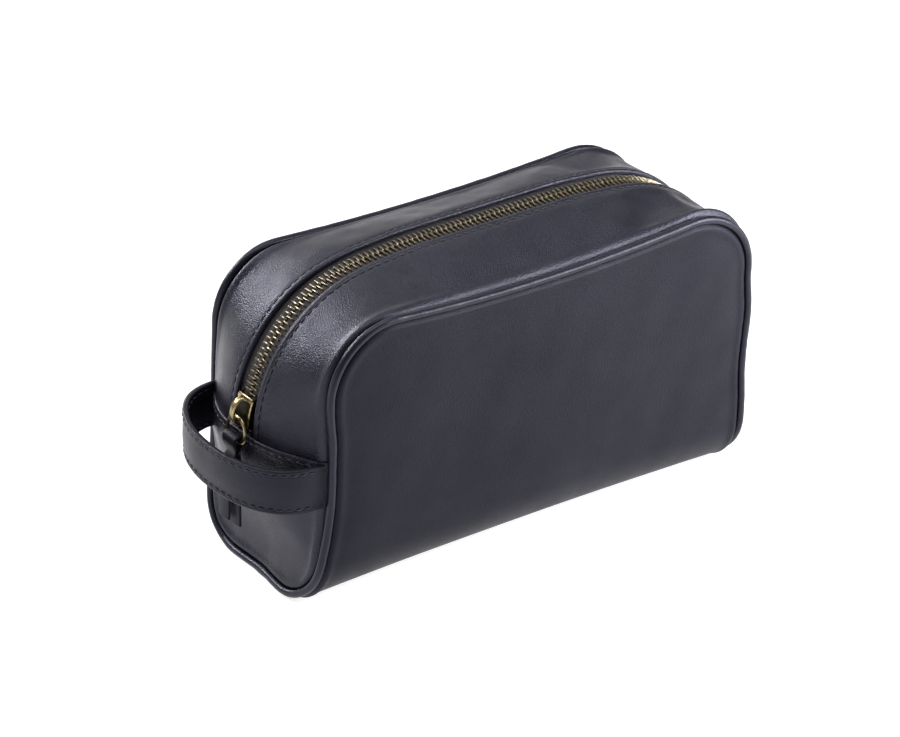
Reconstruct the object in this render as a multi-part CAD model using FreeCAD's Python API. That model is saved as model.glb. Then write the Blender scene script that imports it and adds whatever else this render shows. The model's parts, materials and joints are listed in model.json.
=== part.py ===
import FreeCAD, Part
import math
import os

# Leather wash bag for shaving kit, in millimetres.
# +X runs along the bag, with the hand strap and the zip's closed end at -X.
# The front face is at -Y, +Z is up, and the base rests on z = 0 with the origin at its centre.

Vector = FreeCAD.Vector

# Bag body: the piping's centre line follows these sizes.
half_length = 130.0
half_depth = 49.0
seam_height = 152.0
seam_corner_radius = 35.0
seam_dip_angle = 6.0
base_roll_radius = 24.0
piping_radius = 2.1
piping_core_radius = 1.2
piping_lift = 2.2
seam_gap = 2.3

# Leather, lining and board.
leather = 1.6
lining = 0.5
board_thickness = 1.2
board_clearance = 8.0
panel_half_depth = 50.0

# Zip chain: a straight climb up each end, a large corner and a straight top.
chain_half_length = 144.5
chain_corner_radius = 71.0
chain_height = 159.0
zip_low_end = 78.0
channel_half_width = 8.0
tooth_pitch = 3.0
tooth_thickness = 1.25
tooth_width = 3.6
tooth_depth = 2.6
tooth_parting = 0.8
tape_low = -1.1
tape_high = -0.5
tape_edge = 14.0
teeth_low_end = 89.0
gusset_rise = 2.4
lining_depth = 3.8
end_lining_depth = 5.4

# Mouth flaps: the middle of each gusset half, which folds outwards.
flap_half_length = 75.0
flap_edge = 40.0
fold_strip_edge = 44.6
joint_gap = 0.3

# End panels.
hem_height = 84.0
gusset_low_end = 76.0
panel_bulge_height = 72.0
panel_edge_low_x = 131.0
panel_edge_high_x = 132.8
panel_edge_turn = (56.0, 76.0)
panel_low_x = 132.0
panel_full_x = 148.8

# Slider, ring and leather pull, as angles up the chain's corner where they ride on it.
slider_low_angle = -1.0
slider_high_angle = 12.0
slider_half_width = 5.9
slider_plate = 1.4
wedge_half_width = 0.45
bridge_height = 95.0
bridge_outer_radius = 6.6
bridge_band = 2.0
bridge_half_width = 1.6
ring_wire_radius = 1.1
ring_half_width = 7.8
ring_bar_half_width = 5.3
ring_side = 4.0
ring_hang = (-150.2, 93.4)
ring_tilt = 8.0
pull_half_width = 5.0
pull_ply = 1.3
pull_tail_height = 36.0
pull_lean = 3.4
pull_fold_gap = 0.3

# Hand strap.
strap_centre_x = -134.0
strap_reach = 35.0
strap_half_span = 46.4
strap_roundness = 2.2
strap_back_rise = 3.0
strap_ply = 1.4
strap_ply_gap = 0.1
strap_low = 58.0
strap_high = 82.5
strap_end_low_x = -134.4
strap_end_high_x = -136.2
strap_end_edge = 46.6
strap_end_depth = 2.0
strap_loop_start_x = -141.3

seam_corner_x = half_length - seam_corner_radius
seam_corner_z = seam_height - seam_corner_radius
chain_corner_x = chain_half_length - chain_corner_radius
chain_corner_z = chain_height - chain_corner_radius
dip = math.radians(seam_dip_angle)
dip_start_x = seam_corner_x - seam_corner_radius * math.sin(dip)
dip_start_z = seam_corner_z + seam_corner_radius * math.cos(dip)
dip_radius = dip_start_x / math.sin(dip)
dip_centre_z = dip_start_z + dip_radius * math.cos(dip)

parts_folder = "parts"
os.makedirs(parts_folder, exist_ok=True)


def save(name, shape):
    shape.exportStep(os.path.join(parts_folder, name + ".step"))


def line(a, b):
    return Part.makeLine(a, b)


def arc(a, middle, b):
    return Part.Arc(a, middle, b).toShape()


def mirror_x(shape):
    return shape.mirror(Vector(0, 0, 0), Vector(1, 0, 0))


def mirror_y(shape):
    return shape.mirror(Vector(0, 0, 0), Vector(0, 1, 0))


def box(low, high):
    size = Vector(*high) - Vector(*low)
    return Part.makeBox(size.x, size.y, size.z, Vector(*low))


def fused(shapes):
    first, rest = shapes[0], shapes[1:]
    return first.multiFuse(rest).removeSplitter()


def on_circle(centre_x, centre_z, radius, angle, y=0.0):
    """Point at an angle climbing from the -X direction towards +Z."""
    turn = math.radians(angle)
    return Vector(centre_x - radius * math.cos(turn), y, centre_z + radius * math.sin(turn))


# Seam and piping.

def seam_top(inset, y):
    """Edges over the top of a side seam, from the left climb to the right one, moved inwards."""
    corner = (-seam_corner_x, seam_corner_z, seam_corner_radius - inset)
    start = on_circle(*corner, 0, y)
    middle = on_circle(*corner, 45, y)
    stop = on_circle(*corner, 90 + seam_dip_angle, y)
    low = Vector(0, y, dip_centre_z - dip_radius - inset)
    flip = [Vector(-p.x, p.y, p.z) for p in (start, middle, stop)]
    return [arc(start, middle, stop), arc(stop, low, flip[2]), arc(flip[2], flip[1], flip[0])]


def seam_bottom(x):
    """Edges under one end of the bag, from the front climb to the back one."""
    low = piping_lift
    high = low + base_roll_radius
    flat = half_depth - base_roll_radius
    slant = base_roll_radius * math.sqrt(0.5)
    front = Vector(x, -half_depth, high)
    front_roll = Vector(x, -flat - slant, high - slant)
    front_flat = Vector(x, -flat, low)
    back_flat = Vector(x, flat, low)
    back_roll = Vector(x, flat + slant, high - slant)
    back = Vector(x, half_depth, high)
    return [arc(front, front_roll, front_flat), line(front_flat, back_flat),
            arc(back_flat, back_roll, back)]


def seam_loop():
    """The whole closed loop of piping, edge by edge."""
    low = piping_lift + base_roll_radius
    edges = []
    for y in (-half_depth, half_depth):
        edges += seam_top(0, y)
        for x in (-half_length, half_length):
            edges.append(line(Vector(x, y, low), Vector(x, y, seam_corner_z)))
    for x in (-half_length, half_length):
        edges += seam_bottom(x)
    return edges


def rod_along(edge, radius):
    """A round rod along one straight or circular edge."""
    start = edge.valueAt(edge.FirstParameter)
    heading = edge.tangentAt(edge.FirstParameter)
    disc = Part.Face(Part.Wire(Part.makeCircle(radius, start, heading)))
    curve = edge.Curve
    if isinstance(curve, Part.Circle):
        sweep = math.degrees(edge.LastParameter - edge.FirstParameter)
        return disc.revolve(curve.Center, curve.Axis, sweep)
    return disc.extrude(edge.valueAt(edge.LastParameter) - start)


def piping():
    edges = seam_loop()
    core = fused([rod_along(edge, piping_core_radius) for edge in edges])
    outer = fused([rod_along(edge, piping_radius) for edge in edges])
    save("piping_cover", outer.cut(core))
    save("piping_core", core)


# Body wrap, its lining and the base board.

def side_outline(inset):
    """Prism through the bag with the side's rounded outline."""
    y = -half_depth - 10
    top = seam_top(inset, y)
    side = half_length - inset
    floor = -10.0
    left = [line(Vector(-side, y, floor), Vector(-side, y, seam_corner_z))]
    right = [line(Vector(side, y, seam_corner_z), Vector(side, y, floor))]
    base = [line(Vector(side, y, floor), Vector(-side, y, floor))]
    face = Part.Face(Part.Wire(left + top + right + base))
    return face.extrude(Vector(0, 2 * (half_depth + 10), 0))


def trough(side, bottom, roll, thickness):
    """Front, base and back in one sheet, as long as the bag."""
    def profile(offset):
        y = side - offset
        z = bottom + offset
        r = roll - offset
        s = r * math.sqrt(0.5)
        x = -half_length
        points = [Vector(x, -y, seam_height), Vector(x, -y, z + r),
                  Vector(x, -y + r - s, z + r - s), Vector(x, -y + r, z)]
        flips = [Vector(p.x, -p.y, p.z) for p in points]
        return points, flips
    out, out_flip = profile(0)
    ins, ins_flip = profile(thickness)
    edges = [line(out[0], out[1]), arc(out[1], out[2], out[3]), line(out[3], out_flip[3]),
             arc(out_flip[3], out_flip[2], out_flip[1]), line(out_flip[1], out_flip[0]),
             line(out_flip[0], ins_flip[0]), line(ins_flip[0], ins_flip[1]),
             arc(ins_flip[1], ins_flip[2], ins_flip[3]), line(ins_flip[3], ins[3]),
             arc(ins[3], ins[2], ins[1]), line(ins[1], ins[0]), line(ins[0], out[0])]
    return Part.Face(Part.Wire(edges)).extrude(Vector(2 * half_length, 0, 0))


def body_wrap():
    outer_roll = base_roll_radius + 1
    save("body_panel", trough(panel_half_depth, 0, outer_roll, leather).common(side_outline(seam_gap)))
    lining_bottom = leather + board_thickness + 2 * joint_gap
    lining_side = panel_half_depth - leather - joint_gap
    lined = trough(lining_side, lining_bottom, base_roll_radius - 2, lining)
    save("lining_body", lined.common(side_outline(seam_gap + 2)))
    board_x = half_length - board_clearance
    board_y = half_depth - base_roll_radius
    board_z = leather + joint_gap
    save("base_board", box((-board_x, -board_y, board_z), (board_x, board_y, board_z + board_thickness)))


# Gusset halves: leather, lining and the flaps cut from them.

def rise(share):
    """How far a gusset has risen from its seam (0) to the zip channel (1)."""
    return math.sin(min(1.0, share) * math.pi / 2)


def gusset_stations():
    """Matching points on the seam and beside the zip, with the inward direction, left to right."""
    seam_corner = (-seam_corner_x, seam_corner_z, seam_corner_radius)
    chain_corner = (-chain_corner_x, chain_corner_z, chain_corner_radius)
    left = [(Vector(-half_length, 0, gusset_low_end), Vector(-chain_half_length, 0, gusset_low_end),
             Vector(1, 0, 0))]
    for angle in range(0, 91, 10):
        inward = on_circle(0, 0, -1, angle)
        left.append((on_circle(*seam_corner, angle), on_circle(*chain_corner, angle), inward))
    for step in range(4, 0, -1):
        share = step / 5
        x = dip_start_x * share
        z = dip_centre_z - math.sqrt(dip_radius ** 2 - x ** 2)
        left.append((Vector(-x, 0, z), Vector(-chain_corner_x * share, 0, chain_height), Vector(0, 0, -1)))
    middle = (Vector(0, 0, dip_centre_z - dip_radius), Vector(0, 0, chain_height), Vector(0, 0, -1))
    right = [tuple(Vector(-p.x, p.y, p.z) for p in station) for station in reversed(left)]
    return left + [middle] + right


def gusset_sheet(depth, thickness, edge):
    """A front gusset half, lying depth below the leather's outer face, up to edge from the zip."""
    seam_y = half_depth - seam_gap
    shares = [0, 0.12, 0.25, 0.4, 0.6, 0.8, 1.0]
    sections = []
    for seam, chain, inward in gusset_stations():
        top = chain - inward * gusset_rise
        outer = []
        for share in shares:
            point = seam + (top - seam) * rise(share)
            y = -seam_y + (seam_y - edge) * share
            outer.append(Vector(point.x, y, point.z) + inward * depth)
        inner = [point + inward * thickness for point in reversed(outer)]
        sections.append(Part.makePolygon(outer + inner + outer[:1]))
    return Part.makeLoft(sections, True, True)


def window(half_length, edge):
    """Block over the middle of the mouth, from edge on the front half to the zip."""
    return box((-half_length, -edge, 120), (half_length, 0, 180))


def gussets():
    sheets = {"gusset": (0, leather, channel_half_width),
              "lining_gusset": (lining_depth, lining, channel_half_width + 1)}
    for name, (depth, thickness, edge) in sheets.items():
        sheet = gusset_sheet(depth, thickness, edge)
        fixed = sheet.cut(window(flap_half_length + joint_gap, fold_strip_edge))
        flap = sheet.common(window(flap_half_length, flap_edge))
        save("front_" + name, fixed)
        save("back_" + name, mirror_y(fixed))
        save("front_" + name + "_flap", flap)
        save("back_" + name + "_flap", mirror_y(flap))


# End panels: one sheet each, hemmed at the top over the zip's end.

def smooth(share):
    share = max(0.0, min(1.0, share))
    return share * share * (3 - 2 * share)


def end_sheet(depth, thickness, top):
    """Left end sheet in level slices, from the bottom seam up to its hem."""
    roll = base_roll_radius - seam_gap
    flat = half_depth - base_roll_radius
    centre = piping_lift + base_roll_radius
    low = centre - roll
    levels = [low, low + 0.7, low + 2.5, low + 5.5, low + 10, low + 16, centre, 36, 46, 56, 66, 76, top]
    shares = [-1, -0.9, -0.78, -0.64, -0.48, -0.32, -0.16, 0, 0.16, 0.32, 0.48, 0.64, 0.78, 0.9, 1]
    sections = []
    for z in levels:
        drop = max(0.0, centre - z)
        width = flat + math.sqrt(max(0.0, roll ** 2 - drop ** 2))
        edge_climb = smooth((z - panel_edge_turn[0]) / (panel_edge_turn[1] - panel_edge_turn[0]))
        edge_x = panel_edge_low_x + (panel_edge_high_x - panel_edge_low_x) * edge_climb
        bulge = smooth((z - low) / (panel_bulge_height - low))
        full_x = panel_low_x + (panel_full_x - panel_low_x) * bulge
        outer = []
        for share in shares:
            y = width * share
            climb = rise((width - abs(y)) / (width - channel_half_width))
            outer.append(Vector(-(edge_x + (full_x - edge_x) * climb) + depth, y, z))
        inner = [point + Vector(thickness, 0, 0) for point in reversed(outer)]
        sections.append(Part.makePolygon(outer + inner + outer[:1]))
    return Part.makeLoft(sections, True, True)


def end_panels():
    panel = end_sheet(0, leather, hem_height)
    save("left_end_panel", panel)
    save("right_end_panel", mirror_x(panel))
    inner = end_sheet(end_lining_depth, lining, gusset_low_end - 1)
    save("lining_left_end", inner)
    save("lining_right_end", mirror_x(inner))


# Zip: tapes, teeth and stops follow the chain line.

def chain_band(low, high, y_low, y_high, z_end):
    """Band along the whole chain, between two offsets outwards from its centre line."""
    def run(offset):
        side = chain_half_length + offset
        top = chain_height + offset
        radius = chain_corner_radius + offset
        s = radius * math.sqrt(0.5)
        return [Vector(-side, 0, z_end), Vector(-side, 0, chain_corner_z),
                Vector(-chain_corner_x - s, 0, chain_corner_z + s), Vector(-chain_corner_x, 0, top),
                Vector(chain_corner_x, 0, top), Vector(chain_corner_x + s, 0, chain_corner_z + s),
                Vector(side, 0, chain_corner_z), Vector(side, 0, z_end)]
    def path(p):
        return [line(p[0], p[1]), arc(p[1], p[2], p[3]), line(p[3], p[4]), arc(p[4], p[5], p[6]),
                line(p[6], p[7])]
    outer, inner = run(high), run(low)
    ends = [line(outer[7], inner[7]), line(inner[0], outer[0])]
    band = Part.Face(Part.Wire(Part.__sortEdges__(path(outer) + path(inner) + ends)))
    band.translate(Vector(0, y_low, 0))
    return band.extrude(Vector(0, y_high - y_low, 0))


def chain_frame(distance):
    """Place and outward direction at a distance along the chain from its left corner's start."""
    corner = chain_corner_radius * math.pi / 2
    top = 2 * chain_corner_x
    if distance < 0:
        return Vector(-chain_half_length, 0, chain_corner_z + distance), Vector(-1, 0, 0)
    if distance < corner:
        angle = math.degrees(distance / chain_corner_radius)
        place = on_circle(-chain_corner_x, chain_corner_z, chain_corner_radius, angle)
        return place, on_circle(0, 0, 1, angle)
    if distance <= corner + top / 2:
        return Vector(distance - corner - chain_corner_x, 0, chain_height), Vector(0, 0, 1)
    place, outward = chain_frame(2 * corner + top - distance)
    return Vector(-place.x, 0, place.z), Vector(-outward.x, 0, outward.z)


def tooth(distance):
    """One front tooth, square to the chain."""
    place, outward = chain_frame(distance)
    along = Vector(outward.z, 0, -outward.x)
    corner = place - along * (tooth_thickness / 2) - outward * (tooth_depth / 2)
    low = Vector(corner.x, -tooth_parting - tooth_width, corner.z)
    side = along * tooth_thickness
    up = outward * tooth_depth
    base = Part.makePolygon([low, low + side, low + side + up, low + up, low])
    return Part.Face(base).extrude(Vector(0, tooth_width, 0))


def zip_teeth():
    corner = chain_corner_radius * math.pi / 2
    middle = corner + chain_corner_x
    start = teeth_low_end - chain_corner_z
    count = int((middle - start) / tooth_pitch)
    distances = [middle + tooth_pitch * step for step in range(-count, count + 1)]
    groups = {"left": [], "top": [], "right": []}
    margin = tooth_pitch / 2
    for distance in distances:
        place = chain_frame(distance)[0]
        if abs(place.x) < flap_half_length - margin:
            groups["top"].append(distance)
        elif abs(place.x) > flap_half_length + margin:
            groups["left" if place.x < 0 else "right"].append(distance)
    for name, places in groups.items():
        row = Part.Compound([tooth(distance) for distance in places])
        save("zip_teeth_front_" + name, row)
        save("zip_teeth_back_" + name, mirror_y(row))


def zip_tapes():
    teeth_edge = tooth_parting + tooth_width
    tape = chain_band(tape_low, tape_high, -tape_edge, -teeth_edge, zip_low_end)
    far = chain_half_length + 20
    cuts = {"left": box((-far, -60, 0), (-flap_half_length - joint_gap, 60, 200)),
            "top": box((-flap_half_length, -60, 0), (flap_half_length, 60, 200)),
            "right": box((flap_half_length + joint_gap, -60, 0), (far, 60, 200))}
    for name, block in cuts.items():
        piece = tape.common(block)
        save("zip_tape_front_" + name, piece)
        save("zip_tape_back_" + name, mirror_y(piece))


def zip_stops():
    """Two small clips at the closed end and one box at the far end, on the tapes' outer faces."""
    face = chain_half_length + tape_high
    clip = box((-face - 1.6, -4.4, hem_height + 0.6), (-face, -tooth_parting, hem_height + 2.2))
    save("zip_closed_stops", Part.Compound([clip, mirror_y(clip)]))
    save("zip_open_stop", box((face, -4.4, hem_height + 0.6), (face + 1.6, 4.4, hem_height + 4)))


# Slider, ring and leather pull.

def chain_block(low, high, y_low, y_high, start, stop):
    """Curved block on the left corner, between two offsets from the chain and two angles."""
    inner = chain_corner_radius + low
    outer = chain_corner_radius + high
    corner = (-chain_corner_x, chain_corner_z)
    middle = (start + stop) / 2
    a, b, c = [on_circle(*corner, outer, angle, y_low) for angle in (start, middle, stop)]
    d, e, f = [on_circle(*corner, inner, angle, y_low) for angle in (stop, middle, start)]
    face = Part.Face(Part.Wire([arc(a, b, c), line(c, d), arc(d, e, f), line(f, a)]))
    return face.extrude(Vector(0, y_high - y_low, 0))


def slider():
    start, stop = slider_low_angle, slider_high_angle
    wide = slider_half_width
    wall = 1.0
    plate = tooth_depth / 2 + 0.6
    outer_lip = tape_high + joint_gap
    inner_lip = tape_low - joint_gap
    pieces = [chain_block(plate, plate + slider_plate, -wide, wide, start, stop),
              chain_block(-plate - slider_plate, -plate, -wide, wide, start, stop),
              chain_block(-plate, plate, -wedge_half_width, wedge_half_width, start, start + 3)]
    for y in (-wide, wide - wall):
        pieces.append(chain_block(outer_lip, plate, y, y + wall, start, stop))
        pieces.append(chain_block(-plate, inner_lip, y, y + wall, start, stop))
    save("slider_body", fused(pieces))
    face_x = -chain_half_length - plate - slider_plate + 0.3
    foot = Vector(face_x, -bridge_half_width, bridge_height)
    across = Vector(0, 1, 0)
    full = Part.makeCylinder(bridge_outer_radius, 2 * bridge_half_width, foot, across)
    hole = Part.makeCylinder(bridge_outer_radius - bridge_band, 2 * bridge_half_width, foot, across)
    ahead = box((face_x - 20, -5, bridge_height - 20), (face_x, 5, bridge_height + 20))
    plate_solid = pieces[0]
    save("slider_bridge", full.cut(hole).common(ahead).cut(plate_solid))


def ring_height():
    """From the ring's top to its lowest bar, between centre lines."""
    return ring_half_width + ring_side + ring_half_width - ring_bar_half_width


def ring_bottom():
    """Centre of the ring's lowest bar, where the leather pull hangs."""
    lean = math.radians(ring_tilt)
    drop = ring_height()
    return ring_hang[0] - drop * math.sin(lean), ring_hang[1] - drop * math.cos(lean)


def ring():
    """D-shaped wire ring, round over the top and straight along the bar that holds the pull."""
    corner = ring_half_width - ring_bar_half_width
    s = math.sqrt(0.5)
    wide, bar = ring_half_width, ring_bar_half_width
    side_top = -wide
    side_low = side_top - ring_side
    low = side_low - corner
    def at(y, z):
        return Vector(0, y, z)
    def bend(side):
        return arc(at(side * wide, side_low), at(side * (bar + corner * s), side_low - corner * s),
                   at(side * bar, low))
    edges = [arc(at(-wide, side_top), at(0, 0), at(wide, side_top)), line(at(-bar, low), at(bar, low)),
             line(at(-wide, side_low), at(-wide, side_top)), line(at(wide, side_low), at(wide, side_top)),
             bend(-1), bend(1)]
    wire = fused([rod_along(edge, ring_wire_radius) for edge in edges])
    wire.rotate(Vector(0, 0, 0), Vector(0, 1, 0), ring_tilt)
    wire.translate(Vector(ring_hang[0], 0, ring_hang[1]))
    save("pull_ring", wire)


def leather_pull():
    """One strip folded over the ring's lowest bar, its two plies hanging together."""
    x, z = ring_bottom()
    eye = ring_wire_radius + pull_fold_gap
    wide = 2 * pull_half_width
    start = Vector(x, -pull_half_width, z)
    roll = Part.makeCylinder(eye + pull_ply, wide, start, Vector(0, 1, 0))
    hole = Part.makeCylinder(eye, wide, start, Vector(0, 1, 0))
    y = -pull_half_width
    top = z - eye
    tail_x = x + pull_lean
    points = [Vector(x - pull_ply, y, top), Vector(x + pull_ply, y, top),
              Vector(tail_x + pull_ply, y, pull_tail_height), Vector(tail_x - pull_ply, y, pull_tail_height)]
    plies = Part.Face(Part.makePolygon(points + points[:1])).extrude(Vector(0, wide, 0))
    save("leather_pull", fused([roll, plies]).cut(hole))


# Hand strap.

def strap_ring(inset):
    """Upright ply round the strap's loop, in straight facets, out from the strap's sewn ends."""
    steps = 24
    power = 2 / strap_roundness
    def point(step, shrink):
        turn = math.pi * step / steps
        across = math.cos(turn)
        x = strap_centre_x - (strap_reach - shrink) * math.sin(turn) ** power
        y = -(strap_half_span - shrink) * math.copysign(abs(across) ** power, across)
        return Vector(x, y, strap_low)
    outer = [point(step, inset) for step in range(steps + 1)]
    inner = [point(step, inset + strap_ply) for step in range(steps, -1, -1)]
    face = Part.Face(Part.makePolygon(outer + inner + outer[:1]))
    band = face.extrude(Vector(0, 0, strap_high - strap_low))
    ahead = box((-200, -60, 0), (strap_loop_start_x, 60, 120))
    loop = band.common(ahead)
    tilt = math.degrees(math.atan(strap_back_rise / (2 * strap_half_span)))
    loop.rotate(Vector(0, -strap_half_span, (strap_low + strap_high) / 2), Vector(1, 0, 0), tilt)
    return loop


def hand_strap():
    save("strap_outer_ply", strap_ring(0))
    save("strap_inner_ply", strap_ring(strap_ply + strap_ply_gap))
    near = strap_end_edge - strap_end_depth
    end = box((strap_end_high_x, -strap_end_edge, strap_low), (strap_end_low_x, -near, strap_high))
    save("strap_front_end", end)
    back_end = mirror_y(end)
    back_end.translate(Vector(0, 0, strap_back_rise))
    save("strap_back_end", back_end)


body_wrap()
piping()
gussets()
end_panels()
zip_tapes()
zip_teeth()
zip_stops()
slider()
ring()
leather_pull()
hand_strap()
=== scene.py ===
import json
import math

import bpy
import numpy as np
from mathutils import Matrix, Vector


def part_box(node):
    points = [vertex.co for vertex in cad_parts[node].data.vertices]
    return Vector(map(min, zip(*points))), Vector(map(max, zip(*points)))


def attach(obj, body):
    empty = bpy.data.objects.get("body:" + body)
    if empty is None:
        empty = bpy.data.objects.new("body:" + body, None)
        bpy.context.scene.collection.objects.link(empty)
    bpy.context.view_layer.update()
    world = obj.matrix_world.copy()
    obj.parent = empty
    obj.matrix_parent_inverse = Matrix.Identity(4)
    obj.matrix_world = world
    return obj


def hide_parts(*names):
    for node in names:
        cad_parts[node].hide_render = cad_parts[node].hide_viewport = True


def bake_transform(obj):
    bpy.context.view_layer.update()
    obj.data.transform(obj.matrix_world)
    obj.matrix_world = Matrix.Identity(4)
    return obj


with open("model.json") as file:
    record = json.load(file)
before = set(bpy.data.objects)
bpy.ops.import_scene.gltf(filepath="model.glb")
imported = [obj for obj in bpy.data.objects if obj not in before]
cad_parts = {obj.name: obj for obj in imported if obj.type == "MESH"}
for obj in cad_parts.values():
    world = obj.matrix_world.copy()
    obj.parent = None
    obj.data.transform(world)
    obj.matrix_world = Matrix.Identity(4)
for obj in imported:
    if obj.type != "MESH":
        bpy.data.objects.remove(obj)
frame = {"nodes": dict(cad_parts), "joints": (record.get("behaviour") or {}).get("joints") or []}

# Leather wash bag. Lengths here are millimetres in the CAD model's own frame: +X along the bag away
# from the hand strap, the front face at -Y, +Z up. Meshes are scaled to metres as they are made.

MM = 0.001
y_axis = np.array([0, 1.0, 0])
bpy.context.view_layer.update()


def cad_box(node):
    low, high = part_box(node)
    return np.array(low) / MM, np.array(high) / MM


def joint_place(name):
    joint = next(j for j in frame["joints"] if j["name"] == name)
    return np.array(joint["pos_m"]) / MM


# ---- sizes read from the frame

welt_radius = 2.1
cord_radius = 1.15
welt_high = cad_box("piping_cover")[1]
half_length = welt_high[0] - welt_radius
half_depth = welt_high[1] - welt_radius
seam_height = welt_high[2] - welt_radius + 0.9
base_roll = 27.0
base_low = 2.2
wrap_inset = 1.0
seam_corners = {("left", -1): 36.0, ("right", -1): 35.0, ("left", 1): 34.0, ("right", 1): 38.0}
seam_sag_angle = {-1: 5.2, 1: 3.6}

tooth_half_height = 1.3
chain_corner = joint_place("slider_travel")
chain_corner_x = -chain_corner[0]
chain_corner_z = chain_corner[2]
chain_half_length = -cad_box("zip_teeth_front_left")[0][0] - tooth_half_height
chain_radius = chain_half_length - chain_corner_x
chain_crown = 2.8
channel = 8.0
zip_stitch_line = 3.6
hem_stitch_line = 2.6
strap_stitch_line = 2.6
leather = 1.6
cloth_thickness = 0.5
gusset_lining_depth = 3.6
body_lining_depth = 4.0
end_lining_depth = 4.4
gusset_rise = 2.3
tape_level = -0.9
hem_height = cad_box("left_end_panel")[1][2]
gusset_low = hem_height - 6.0
seam_y = half_depth - 1.8

# Distance along from the middle within which the zip chain's line rises by its crown.
blend_start = 92.0

# Stitches, as pitch, length and thread radius.
body_stitch = (4.9, 3.3, 0.36)
strap_stitch = (4.7, 3.1, 0.34)

strap_low, strap_high = cad_box("strap_outer_ply")
strap_width = 24.6
strap_middle_z = (strap_high[2] + strap_low[2]) / 2
strap_centre_x = joint_place("strap_flex")[0]
strap_reach = strap_centre_x - strap_low[0] - 0.6
ring_hang = joint_place("ring_swing")
pull_bar = joint_place("pull_swing") + np.array([0.4, 0, 2.6])
pull_low = cad_box("leather_pull")[0][2]


# ---- small helpers

def smooth(t):
    t = np.clip(t, 0.0, 1.0)
    return t * t * (3 - 2 * t)


def bump(distance, width):
    return np.exp(-(distance / width) ** 2)


def unit(v):
    return v / np.maximum(np.linalg.norm(v, axis=-1, keepdims=True), 1e-9)


def ripple(points, length, seed):
    """Smooth random undulation of about unit height, the same on every run."""
    waves = 9
    random = np.random.RandomState(seed)
    total = np.zeros(points.shape[:-1])
    for _ in range(waves):
        heading = unit(random.normal(size=3)) * 2 * math.pi / (length * random.uniform(0.7, 1.5))
        total += np.sin(points @ heading + random.uniform(0, 2 * math.pi))
    return total / math.sqrt(waves)


def distances_along(points):
    """Distance of each point of a polyline from its start."""
    return np.concatenate([[0], np.cumsum(np.linalg.norm(np.diff(points, axis=0), axis=1))])


def between(values, along, places):
    """Rows of values, known at distances along a line, read off at other places on it."""
    return np.stack([np.interp(places, along, values[:, i]) for i in range(values.shape[1])], axis=1)


def length_of(points):
    return float(np.linalg.norm(np.diff(points, axis=0), axis=1).sum())


def spaced(points, step, closed=False):
    """Points evenly along a line, about a step apart, without the last one where it is closed."""
    total = length_of(points)
    count = max(2, int(round(total / step)))
    places = np.linspace(0, total, count + 1)[:count if closed else count + 1]
    return between(points, distances_along(points), places)


# ---- mesh makers

def add_object(name, data):
    thing = bpy.data.objects.new(name, data)
    bpy.context.scene.collection.objects.link(thing)
    return thing


def make_object(name, points, faces, material, coords=None, crease_angle=50):
    mesh = bpy.data.meshes.new(name)
    mesh.from_pydata((np.asarray(points) * MM).tolist(), [], faces)
    mesh.validate()
    if coords is not None:
        layer = mesh.attributes.new("strip", "FLOAT_VECTOR", "POINT")
        layer.data.foreach_set("vector", np.asarray(coords, np.float32).ravel())
    mesh.shade_smooth()
    if crease_angle:
        mesh.set_sharp_from_angle(angle=math.radians(crease_angle))
    mesh.materials.append(material)
    return add_object(name, mesh)


def shell_faces(count, width):
    """Quads of a closed sheet whose stations hold the outer points and then the inner ones, reversed."""
    ring = 2 * width
    last = (count - 1) * ring
    faces = []
    for a in range(0, last, ring):
        b = a + ring
        for j in range(ring):
            k = (j + 1) % ring
            faces.append((a + j, b + j, b + k, a + k))
    for j in range(width - 1):
        faces.append((j, j + 1, ring - 2 - j, ring - 1 - j))
        faces.append((last + j + 1, last + j, last + ring - 1 - j, last + ring - 2 - j))
    return faces


def shell(name, outer, inner, material, across=None, flip=False):
    """Closed sheet between two grids of points, each stations by width."""
    count, width = outer.shape[:2]
    rings = np.concatenate([outer, inner[:, ::-1]], axis=1)
    faces = shell_faces(count, width)
    if flip:
        faces = [face[::-1] for face in faces]
    if across is None:
        across = distances_along(outer[count // 2])
    coords = np.zeros(rings.shape)
    coords[..., 0] = distances_along(outer[:, width // 2])[:, None]
    coords[..., 1] = np.concatenate([across, across[::-1]])
    return make_object(name, rings.reshape(-1, 3), faces, material, coords.reshape(-1, 3))


def loop_tangent(path):
    return unit(np.roll(path, -1, axis=0) - np.roll(path, 1, axis=0))


def rings_along(path, section, side, up, swell=1.0):
    """Rings of (side, up) pairs along a path, the side part swollen station by station."""
    side = np.reshape(side, (-1, 1, 3))
    up = np.reshape(up, (-1, 1, 3))
    return path[:, None] + section[:, :1] * np.reshape(swell, (-1, 1, 1)) * side + section[:, 1:] * up


def tube_mesh(rings, closed=False):
    """Points and faces of a tube through rings, capped at its ends or closed into a loop."""
    count, width = rings.shape[:2]
    faces = []
    for i in range(count if closed else count - 1):
        a = i * width
        b = (i + 1) % count * width
        for j in range(width):
            k = (j + 1) % width
            faces.append((a + j, a + k, b + k, b + j))
    if not closed:
        faces.append(tuple(reversed(range(width))))
        faces.append(tuple(range((count - 1) * width, count * width)))
    return rings.reshape(-1, 3), faces


def circle(radius, count):
    turn = np.arange(count) * 2 * math.pi / count
    return np.stack([radius * np.cos(turn), radius * np.sin(turn)], axis=1)


def rounded_bar(width, thickness, radius, steps=3):
    """Section of a flat bar with rounded edges, as (side, up) pairs."""
    points = []
    for sx, sy, start in ((1, 1, 0), (-1, 1, 90), (-1, -1, 180), (1, -1, 270)):
        for step in range(steps + 1):
            turn = math.radians(start + 90 * step / steps)
            points.append((sx * (width / 2 - radius) + radius * math.cos(turn),
                           sy * (thickness / 2 - radius) + radius * math.sin(turn)))
    return np.array(points)


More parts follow.
